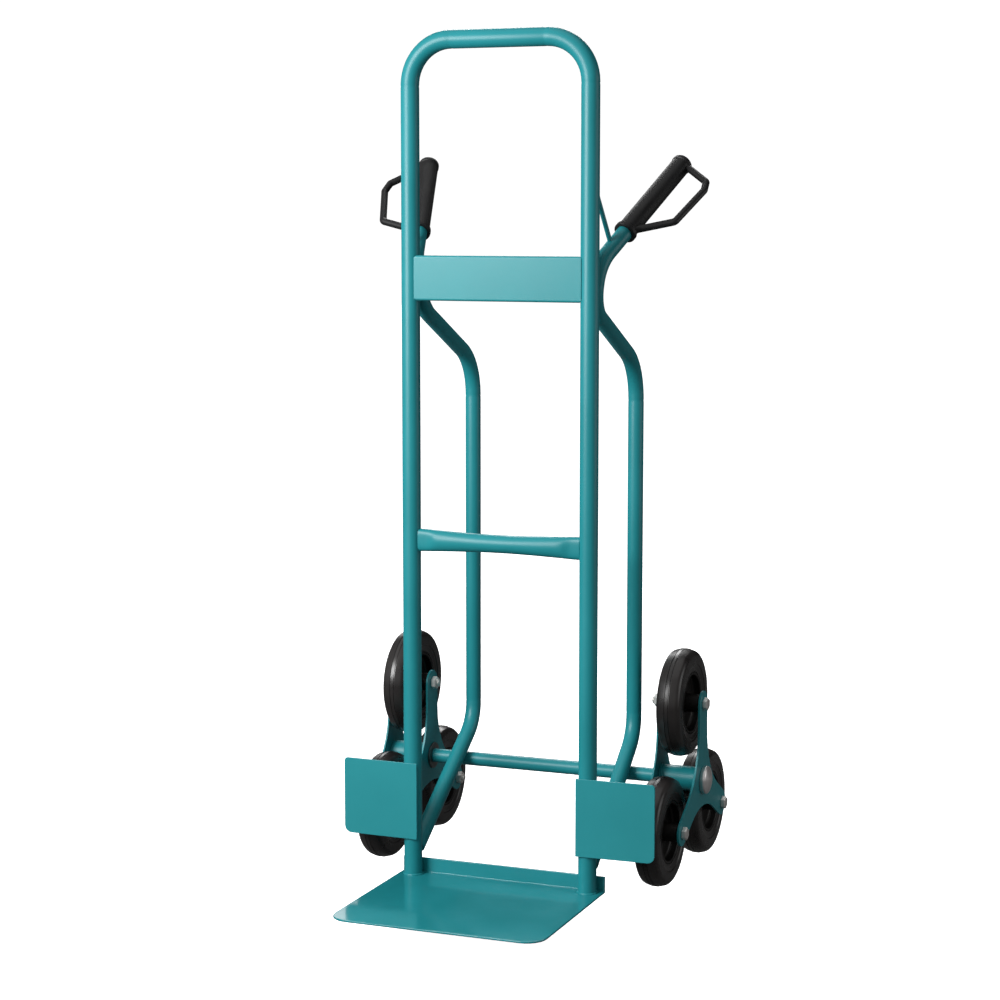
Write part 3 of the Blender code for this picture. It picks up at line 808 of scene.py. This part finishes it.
@dataclass
class SideRails:
    """The bent rails behind the uprights, their handles, braces and grips. Places are for the right side."""

    radius: float = 11.1 * MM
    foot: tuple[float, float, float] = (0.1300, 0.0130, 0.0391)
    lower_bend: tuple[float, float, float] = (0.1252, 0.2120, 0.1825)
    upper_bend: tuple[float, float, float] = (0.1252, 0.2120, 0.7140)
    weld_low: tuple[float, float, float] = (0.1260, 0.0241, 0.8015)
    weld_high: tuple[float, float, float] = (0.1345, 0.0241, 0.8617)
    bend_radii: tuple[float, ...] = (0.055, 0.075, 0.050, 0.050)
    handle_along: tuple[float, float, float] = (0.2457, 0.7799, 0.5754)
    handle_length: float = 0.2324
    brace_radius: float = 3.25 * MM
    brace_top_z: float = 0.965
    brace_reach: float = 35.0 * MM
    grip_start: float = 69.4 * MM
    grip_length: float = 168.0 * MM
    grip_radius: float = 13.9 * MM
    collar_radius: float = 16.0 * MM
    collar_length: float = 6.0 * MM
    guard_bar: float = 5.0 * MM
    guard_bends: tuple[float, ...] = (7.0 * MM, 7.0 * MM, 6.0 * MM)
    guard_corners: tuple[Station, ...] = (
        (0.010, 0.0105), (0.041, 0.0565), (0.116, 0.0615), (0.134, 0.0550), (0.160, 0.0105))

    def along(self) -> Vector:
        """Direction of the handle, as a unit vector."""
        return Vector(self.handle_along).normalized()

    def outward(self) -> Vector:
        """Direction from the handle towards its knuckle guard, level across the truck."""
        along = self.along()
        return (ACROSS - along * ACROSS.dot(along)).normalized()

    def handle_point(self, distance: float, out: float = 0.0) -> Vector:
        """A point of the handle.

        Args:
            distance: distance along the handle from its bend.
            out: distance from its axis towards the knuckle guard.

        Returns:
            The point.
        """
        return Vector(self.weld_high) + self.along() * distance + self.outward() * out

    def build_rail(self) -> None:
        """Bends the rail on the right and copies it to the left."""
        places = (self.foot, self.lower_bend, self.upper_bend, self.weld_low, self.weld_high)
        corners = [Vector(place) for place in places]
        corners.append(self.handle_point(self.handle_length))
        rail = TubeRun("rail_right", corners, self.bend_radii, self.radius).build()
        settle(rail, "frame", POWDER_COAT, "side_rail_right")
        settle(mirrored(rail, "rail_left"), "frame", POWDER_COAT, "side_rail_left")

    def build_brace(self) -> None:
        """Draws the thin brace rod from the back of the upright to the handle."""
        end = self.handle_point(self.brace_reach)
        start = Vector((MainFrame().half_width(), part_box("handle_brace_right")[0].y + self.brace_radius,
                        self.brace_top_z))
        rod = TubeRun("brace_right", [start, end], (), self.brace_radius, ROD_SIDES).build()
        settle(rod, "frame", POWDER_COAT, "handle_brace_right")
        settle(mirrored(rod, "brace_left"), "frame", POWDER_COAT, "handle_brace_left")

    def build_sleeve(self) -> bpy.types.Object:
        """Turns the grip sleeve: a collar, a plain barrel and a rounded closed end.

        Returns:
            The right-hand sleeve.
        """
        bore = self.radius + 0.3 * MM
        bore_depth = 4.0 * MM
        taper = 2.0 * MM
        edge = 1.2 * MM
        end_round = 3.0 * MM
        rim = 0.8 * MM
        rim_start = self.grip_length - 7.0 * MM
        rim_radius = self.grip_radius + rim
        collar_corner = arc((edge, self.collar_radius - edge), edge, 180.0, 90.0, 4)
        stations = [(bore_depth, bore), (0.0, bore)] + collar_corner
        stations += [(self.collar_length, self.collar_radius)]
        stations += [(self.collar_length + taper, self.grip_radius)]
        stations += [(rim_start - rim, self.grip_radius), (rim_start, rim_radius)]
        stations += arc((self.grip_length - end_round, rim_radius - end_round), end_round, 90.0, 0.0, 8)
        stations += [(self.grip_length, 1.0 * MM)]
        return Turned("grip_sleeve_right", stations, self.handle_point(self.grip_start), self.along()).build()

    def build_guard(self) -> bpy.types.Object:
        """Draws the knuckle guard, a round bar bent round the fingers.

        Returns:
            The right-hand guard.
        """
        corners = [self.handle_point(self.grip_start + s, t) for s, t in self.guard_corners]
        return TubeRun("knuckle_guard_right", corners, self.guard_bends, self.guard_bar, ROD_SIDES,
                       mark_depth=0.0).build()

    def build(self) -> None:
        """Builds and dresses rails, braces and grips."""
        self.build_rail()
        self.build_brace()
        for piece in (self.build_sleeve(), self.build_guard()):
            settle(piece, "frame", GRIP_PLASTIC, "hand_grip_right")
            twin = mirrored(piece, piece.name.replace("right", "left"))
            settle(twin, "frame", GRIP_PLASTIC, "hand_grip_left")


@dataclass
class AxleSet:
    """The axle, its washers and its pressed hub caps."""

    radius: float = 10.0 * MM
    chamfer: float = 1.0 * MM
    washer_edge: float = 0.4 * MM
    cap_skirt: float = 5.0 * MM
    cap_shoulder: float = 3.0 * MM
    dome_steps: int = 8

    def build(self) -> None:
        """Builds and dresses the axle and what is fixed on it."""
        low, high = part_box("axle")
        centre = middle_of("axle")
        half = (high.x - low.x) / 2.0
        stations = [(-half, self.radius - self.chamfer), (-half + self.chamfer, self.radius),
                    (half - self.chamfer, self.radius), (half, self.radius - self.chamfer)]
        settle(Turned("axle_bar", stations, centre, ACROSS).build(), "frame", POWDER_COAT, "axle")
        for side in Side:
            self.build_cap(side)
            node = f"axle_washer_{side.label}"
            settle(rounded_copy(node, f"washer_{side.label}", self.washer_edge), "frame", ZINC_DULL, node)

    def build_cap(self, side: Side) -> None:
        """Presses one hub cap: a short skirt, a rolled shoulder and a shallow dome.

        Args:
            side: which end of the axle.
        """
        node = f"hub_cap_{side.label}"
        low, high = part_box(node)
        radius = (high.z - low.z) / 2.0
        height = high.x - low.x
        inner = low.x if side is Side.RIGHT else high.x
        start = Vector((inner, middle_of(node).y, middle_of(node).z))
        stations = [(0.0, self.radius + 0.3 * MM), (0.0, radius - 0.4 * MM), (0.4 * MM, radius)]
        stations += [(self.cap_skirt, radius)]
        stations += arc((self.cap_skirt, radius - self.cap_shoulder), self.cap_shoulder, 90.0, 25.0, 6)
        dome_base = stations[-1]
        for step in range(1, self.dome_steps + 1):
            share = step / self.dome_steps
            rise = (height - dome_base[0]) * math.sin(share * math.pi / 2.0)
            stations.append((dome_base[0] + rise, max(dome_base[1] * (1.0 - share), 0.3 * MM)))
        cap = Turned(f"cap_{side.label}", stations, start, Vector((side.value, 0, 0))).build(50.0)
        settle(cap, "frame", CHROME_PLATE, node)


@dataclass
class Wheel:
    """One wheel: a ribbed rubber tyre on a moulded centre, modelled once about the X axis."""

    tyre_half_width: float = 17.2 * MM
    rim_radius: float = 44.0 * MM
    rim_half_width: float = 15.0 * MM
    hub_radius: float = 13.0 * MM
    hub_half_length: float = 27.0 * MM
    web_half_thickness: float = 3.5 * MM
    bore_radius: float = 5.3 * MM
    crown: float = 9.0 * MM
    tread_sag: float = 1.8 * MM
    groove_count: int = 2
    groove_width: float = 1.4 * MM
    groove_depth: float = 0.8 * MM
    tyre_sides: int = 96
    centre_sides: int = 72
    smooth_angle: float = 40.0

    def radius(self) -> float:
        """Radius of the tyre, from the frame."""
        low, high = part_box("tyre_right_top")
        return (high.z - low.z) / 2.0

    def tread(self) -> list[Station]:
        """The running surface from one shoulder to the other, a crowned face with grooves round it.

        Returns:
            The stations across the tread.
        """
        outer = self.radius()
        half = self.tyre_half_width - self.crown
        pitch = 2.0 * half / (self.groove_count + 1)
        stations = []
        for groove in range(1, self.groove_count + 1):
            middle = -half + pitch * groove
            edge = self.groove_width / 2.0
            sag = self.tread_sag * (middle / half) ** 2
            top = outer - sag
            stations += [(middle - edge, top), (middle - edge * 0.5, top - self.groove_depth),
                         (middle + edge * 0.5, top - self.groove_depth), (middle + edge, top)]
        return stations

    def build_tyre(self) -> bpy.types.Object:
        """Turns the tyre: tread, shoulders, a stepped sidewall and the bead seat.

        Returns:
            The tyre, centred on the origin.
        """
        outer = self.radius()
        bead = self.rim_radius + 0.5 * MM
        step = bead + 7.0 * MM
        shoulder = (self.tyre_half_width - self.crown, outer - self.tread_sag - self.crown)
        right = arc(shoulder, self.crown, 70.0, 0.0, 6)
        right += [(self.tyre_half_width, step + 4.0 * MM), (self.tyre_half_width - 1.2 * MM, step + 2.6 * MM),
                  (self.tyre_half_width - 1.2 * MM, step), (self.tyre_half_width - 2.4 * MM, step - 2.0 * MM),
                  (self.rim_half_width, bead)]
        left = [(-distance, radius) for distance, radius in reversed(right)]
        outline = left + self.tread() + right + [left[0]]
        return Turned("tyre_pattern", outline, Vector(), ACROSS, self.tyre_sides).build(self.smooth_angle)

    def build_centre(self) -> bpy.types.Object:
        """Turns the wheel centre: rim channel, web with fillets, and hub.

        Returns:
            The wheel centre, centred on the origin.
        """
        rim_inner = self.rim_radius - 4.0 * MM
        fillet = 4.0 * MM
        edge = 0.8 * MM
        right = [(self.rim_half_width - edge, self.rim_radius), (self.rim_half_width, self.rim_radius - edge)]
        right += [(self.rim_half_width, rim_inner + edge), (self.rim_half_width - edge, rim_inner)]
        right += arc((self.web_half_thickness + fillet, rim_inner - fillet), fillet, 90.0, 180.0, 5)
        right += arc((self.web_half_thickness + fillet, self.hub_radius + fillet), fillet, 180.0, 270.0, 5)
        right += [(self.hub_half_length - edge, self.hub_radius)]
        right += [(self.hub_half_length, self.hub_radius - edge)]
        right += [(self.hub_half_length, self.bore_radius)]
        left = [(-distance, radius) for distance, radius in reversed(right)]
        outline = right + left + [right[0]]
        centre = Turned("wheel_centre_pattern", outline, Vector(), ACROSS, self.centre_sides)
        return centre.build(self.smooth_angle)


@dataclass
class Fasteners:
    """A wheel's hexagon bolt and its nut, modelled once on the right-hand top wheel."""

    shank_radius: float = 5.0 * MM
    half_flats: float = 8.0 * MM
    head_height: float = 6.5 * MM
    thread_pitch: float = 1.5 * MM
    thread_depth: float = 0.5 * MM
    thread_length: float = 12.0 * MM
    tip_chamfer: float = 0.8 * MM
    model: str = "right_top"

    def hexagon(self, name: str, start: Vector, along: Vector, height: float) -> bpy.types.Object:
        """Forges a hexagon with chamfered corners on its outer face.

        Args:
            name: the piece's name.
            start: middle of the face that bears on the plate.
            along: direction from that face outwards.
            height: height of the hexagon.

        Returns:
            The hexagon.
        """
        corner = self.half_flats / math.cos(math.radians(30.0))
        stations = [(0.0, corner * 0.95), (0.5 * MM, corner), (height - 1.1 * MM, corner),
                    (height, corner * 0.86)]
        return Turned(name, stations, start, along, 6).build(20.0)

    def build(self) -> tuple[bpy.types.Object, bpy.types.Object]:
        """Makes the bolt and the nut.

        Returns:
            The bolt and the nut, in place on the model wheel.
        """
        bolt_low, bolt_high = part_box(f"wheel_bolt_{self.model}")
        nut_low, nut_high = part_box(f"wheel_nut_{self.model}")
        centre = middle_of(f"tyre_{self.model}")
        nut_side = 1.0 if middle_of(f"wheel_nut_{self.model}").x > centre.x else -1.0
        out = Vector((nut_side, 0, 0))
        head_end = bolt_low.x if nut_side > 0 else bolt_high.x
        tail_end = bolt_high.x if nut_side > 0 else bolt_low.x
        bearing = Vector((head_end, centre.y, centre.z)) + out * self.head_height
        head = self.hexagon("bolt_pattern", bearing, -out, self.head_height)
        length = abs(tail_end - bearing.x)
        turns = int(self.thread_length / self.thread_pitch)
        plain = length - turns * self.thread_pitch - self.tip_chamfer
        stations = [(0.0, self.shank_radius), (plain, self.shank_radius)]
        for turn in range(turns):
            root = plain + (turn + 0.5) * self.thread_pitch
            stations += [(root, self.shank_radius - self.thread_depth),
                         (root + self.thread_pitch / 2.0, self.shank_radius)]
        stations += [(length, self.shank_radius - self.tip_chamfer)]
        shank = Turned("bolt_shank", stations, bearing, out, 24).build(50.0)
        activate(head)
        shank.select_set(True)
        bpy.ops.object.join()
        nut_face = nut_low.x if nut_side > 0 else nut_high.x
        nut = self.hexagon("nut_pattern", Vector((nut_face, centre.y, centre.z)), out, nut_high.x - nut_low.x)
        return head, nut


@dataclass
class Cluster:
    """The wheel clusters: two plates each, a hub tube, and a wheel on every arm."""

    hub_tube_radius: float = 17.5 * MM
    plate_edge: float = 0.8 * MM
    tube_edge: float = 0.4 * MM
    weld_inset: float = 1.0 * MM
    weld_thickness: float = 1.5 * MM

    def build_plates(self, side: Side) -> None:
        """Builds both arm plates and the hub tube, with a weld at each end of the tube.

        Args:
            side: which cluster.
        """
        body = f"cluster_{side.label}"
        for layer in ("inner", "outer"):
            node = f"spider_{layer}_{side.label}"
            plate = rounded_copy(node, f"arm_plate_{layer}_{side.label}", self.plate_edge)
            settle(plate, body, POWDER_COAT, node)
        node = f"hub_tube_{side.label}"
        settle(rounded_copy(node, f"cluster_tube_{side.label}", self.tube_edge), body, POWDER_COAT, node)
        low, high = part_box(node)
        centre = middle_of(node)
        for number, x in enumerate((low.x + self.weld_inset, high.x - self.weld_inset)):
            bead = WeldBead(f"cluster_weld_{side.label}_{number}", self.weld_thickness).ring(
                Vector((x, centre.y, centre.z)), ACROSS, self.hub_tube_radius)
            settle(bead, body, POWDER_COAT)

    def build(self) -> None:
        """Builds and dresses both clusters and all their wheels."""
        wheel = Wheel()
        tyre = wheel.build_tyre()
        centre = wheel.build_centre()
        fasteners = Fasteners()
        bolt, nut = fasteners.build()
        home = middle_of(f"tyre_{fasteners.model}")
        for side in Side:
            self.build_plates(side)
            for arm in Arm:
                label = f"{side.label}_{arm.label}"
                there = middle_of(f"tyre_{label}")
                place = Matrix.Translation(there)
                body = f"wheel_{label}"
                settle(placed_copy(tyre, f"tread_{label}", place), body, TYRE_RUBBER, f"tyre_{label}")
                middle = placed_copy(centre, f"centre_{label}", place)
                settle(middle, body, WHEEL_PLASTIC, f"wheel_body_{label}")
                half = Matrix.Identity(4) if side is Side.RIGHT else MIRROR
                shift = Matrix.Translation(Vector((0.0, there.y - home.y, there.z - home.z))) @ half
                for kind, pattern in (("bolt", bolt), ("nut", nut)):
                    piece = placed_copy(pattern, f"{kind}_{label}", shift)
                    settle(piece, f"cluster_{side.label}", ZINC_PLATE, f"wheel_{kind}_{label}")
        for pattern in (tyre, centre, bolt, nut):
            bpy.data.objects.remove(pattern)


# ---------------------------------------------------------------- studio


@dataclass(frozen=True)
class SoftBox:
    """A square studio light: its place, its target, its size and its power."""

    name: str
    place: tuple[float, float, float]
    target: tuple[float, float, float]
    size: float
    watts: float


@dataclass
class Studio:
    """A plain pale floor, soft lights and the camera."""

    azimuth: float = 21.71
    pitch: float = 6.91
    focal_length: float = 85.89
    camera_place: tuple[float, float, float] = (1.1975, -3.0041, 0.93165)
    bright_side: tuple[float, float, float] = (-0.474, -0.881, 0.0)
    backdrop: float = 1.05
    floor_size: float = 40.0
    floor_gap: float = 3.0 * MM
    floor_seen: str = "F7F7F7"
    floor_felt: str = "5A5A5A"
    walls_from: float = -0.4
    walls_to: float = 0.6
    room_bright: float = 0.42
    room_dark: float = 0.03
    overhead_strength: float = 0.45
    overhead_spread: float = 60.0
    boxes: tuple[SoftBox, ...] = (
        SoftBox("key_light", (-0.88, -1.51, 1.28), (0.0, 0.0, 0.80), 1.0, 48.0),
        SoftBox("fill_light", (2.60, 0.70, 1.00), (0.0, 0.0, 0.50), 1.6, 12.0),
        SoftBox("back_light", (-2.03, 3.00, 1.54), (-2.03, 0.0, 1.54), 1.0, 8.0),
        SoftBox("rear_light", (-0.95, 3.00, 2.70), (0.0, 0.0, 0.60), 1.6, 55.0),
    )

    def place_camera(self) -> None:
        """Sets the scene's camera at its viewing angle."""
        data = bpy.data.cameras.new("camera")
        data.lens = self.focal_length
        data.sensor_width = 36.0
        camera = bpy.data.objects.new("camera", data)
        bpy.context.scene.collection.objects.link(camera)
        turn = (math.radians(90.0 - self.pitch), 0.0, math.radians(self.azimuth))
        camera.location = self.camera_place
        camera.rotation_euler = turn
        bpy.context.scene.camera = camera

    def floor_height(self) -> float:
        """Height of the floor, just below the lowest that a wheel reaches when its cluster turns."""
        axle = middle_of("axle")
        top_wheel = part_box("tyre_right_top")[1]
        return axle.z - (top_wheel.z - axle.z) - self.floor_gap

    def lay_floor(self) -> None:
        """Lays a wide, pale, matt floor that shows no shadow and throws little light back up."""
        bpy.ops.object.select_all(action="DESELECT")
        bpy.ops.mesh.primitive_plane_add(size=self.floor_size, location=(0.0, 0.0, self.floor_height()))
        floor = bpy.context.object
        floor.name = "studio_floor"
        material = bpy.data.materials.new("pale_studio_floor")
        material.use_nodes = True
        tree = material.node_tree
        shader = tree.nodes["Principled BSDF"]
        shader.inputs["Roughness"].default_value = 0.9
        shader.inputs["Specular IOR Level"].default_value = 0.1
        shader.inputs["Emission Color"].default_value = linear("FFFFFF")
        # white to the camera alone, so that no shadow shows and little light comes back up
        seen = add_node(tree, "ShaderNodeLightPath").outputs["Is Camera Ray"]
        shade = add_node(tree, "ShaderNodeValToRGB", links={"Fac": seen})
        shade.color_ramp.elements[0].color = linear(self.floor_felt)
        shade.color_ramp.elements[1].color = linear(self.floor_seen)
        tree.links.new(shade.outputs["Color"], shader.inputs["Base Color"])
        tree.links.new(seen, shader.inputs["Emission Strength"])
        floor.data.materials.append(material)

    def hang_lights(self) -> None:
        """Hangs the soft boxes and the wide overhead light, and lights the room."""
        sun = bpy.data.lights.new("overhead_light", "SUN")
        sun.energy = self.overhead_strength
        sun.angle = math.radians(self.overhead_spread)
        bpy.context.scene.collection.objects.link(bpy.data.objects.new("overhead_light", sun))
        for box in self.boxes:
            data = bpy.data.lights.new(box.name, "AREA")
            data.size = box.size
            data.energy = box.watts
            light = bpy.data.objects.new(box.name, data)
            bpy.context.scene.collection.objects.link(light)
            light.location = box.place
            aim = Vector(box.target) - Vector(box.place)
            light.rotation_euler = aim.to_track_quat("-Z", "Y").to_euler()
            light.visible_camera = False
        self.light_room()

    def light_room(self) -> None:
        """Lights the room: a white backdrop, bright walls on one side and dim ones behind the truck."""
        world = bpy.data.worlds.new("studio_room")
        world.use_nodes = True
        tree = world.node_tree
        tree.nodes.clear()
        place = add_node(tree, "ShaderNodeTexCoord")
        facing = add_node(tree, "ShaderNodeVectorMath", settings={"operation": "DOT_PRODUCT"},
                          links={"Vector": place.outputs["Generated"]})
        facing.inputs[1].default_value = Vector(self.bright_side).normalized()
        walls = add_node(tree, "ShaderNodeMapRange",
                         values={"From Min": self.walls_from, "From Max": self.walls_to,
                                 "To Min": self.room_dark, "To Max": self.room_bright},
                         links={"Value": facing.outputs["Value"]})
        seen = add_node(tree, "ShaderNodeLightPath")
        power = add_node(tree, "ShaderNodeMapRange",
                         values={"To Max": self.backdrop},
                         links={"Value": seen.outputs["Is Camera Ray"], "To Min": walls.outputs["Result"]})
        sky = add_node(tree, "ShaderNodeBackground", values={"Color": linear("FFFFFF")},
                       links={"Strength": power.outputs["Result"]})
        add_node(tree, "ShaderNodeOutputWorld", links={"Surface": sky.outputs["Background"]})
        bpy.context.scene.world = world
        bpy.context.scene.view_settings.view_transform = "Standard"

    def build(self) -> None:
        """Sets up the floor, the lights and the camera."""
        self.lay_floor()
        self.hang_lights()
        self.place_camera()


def main() -> None:
    """Builds the truck and its studio, in order."""
    logging.basicConfig(level=logging.INFO, format="%(name)s: %(message)s")
    Studio().build()
    for assembly in (MainFrame(), SideRails(), AxleSet(), Cluster()):
        LOG.info("building %s", type(assembly).__name__)
        assembly.build()


if __name__ == "__main__":
    main()
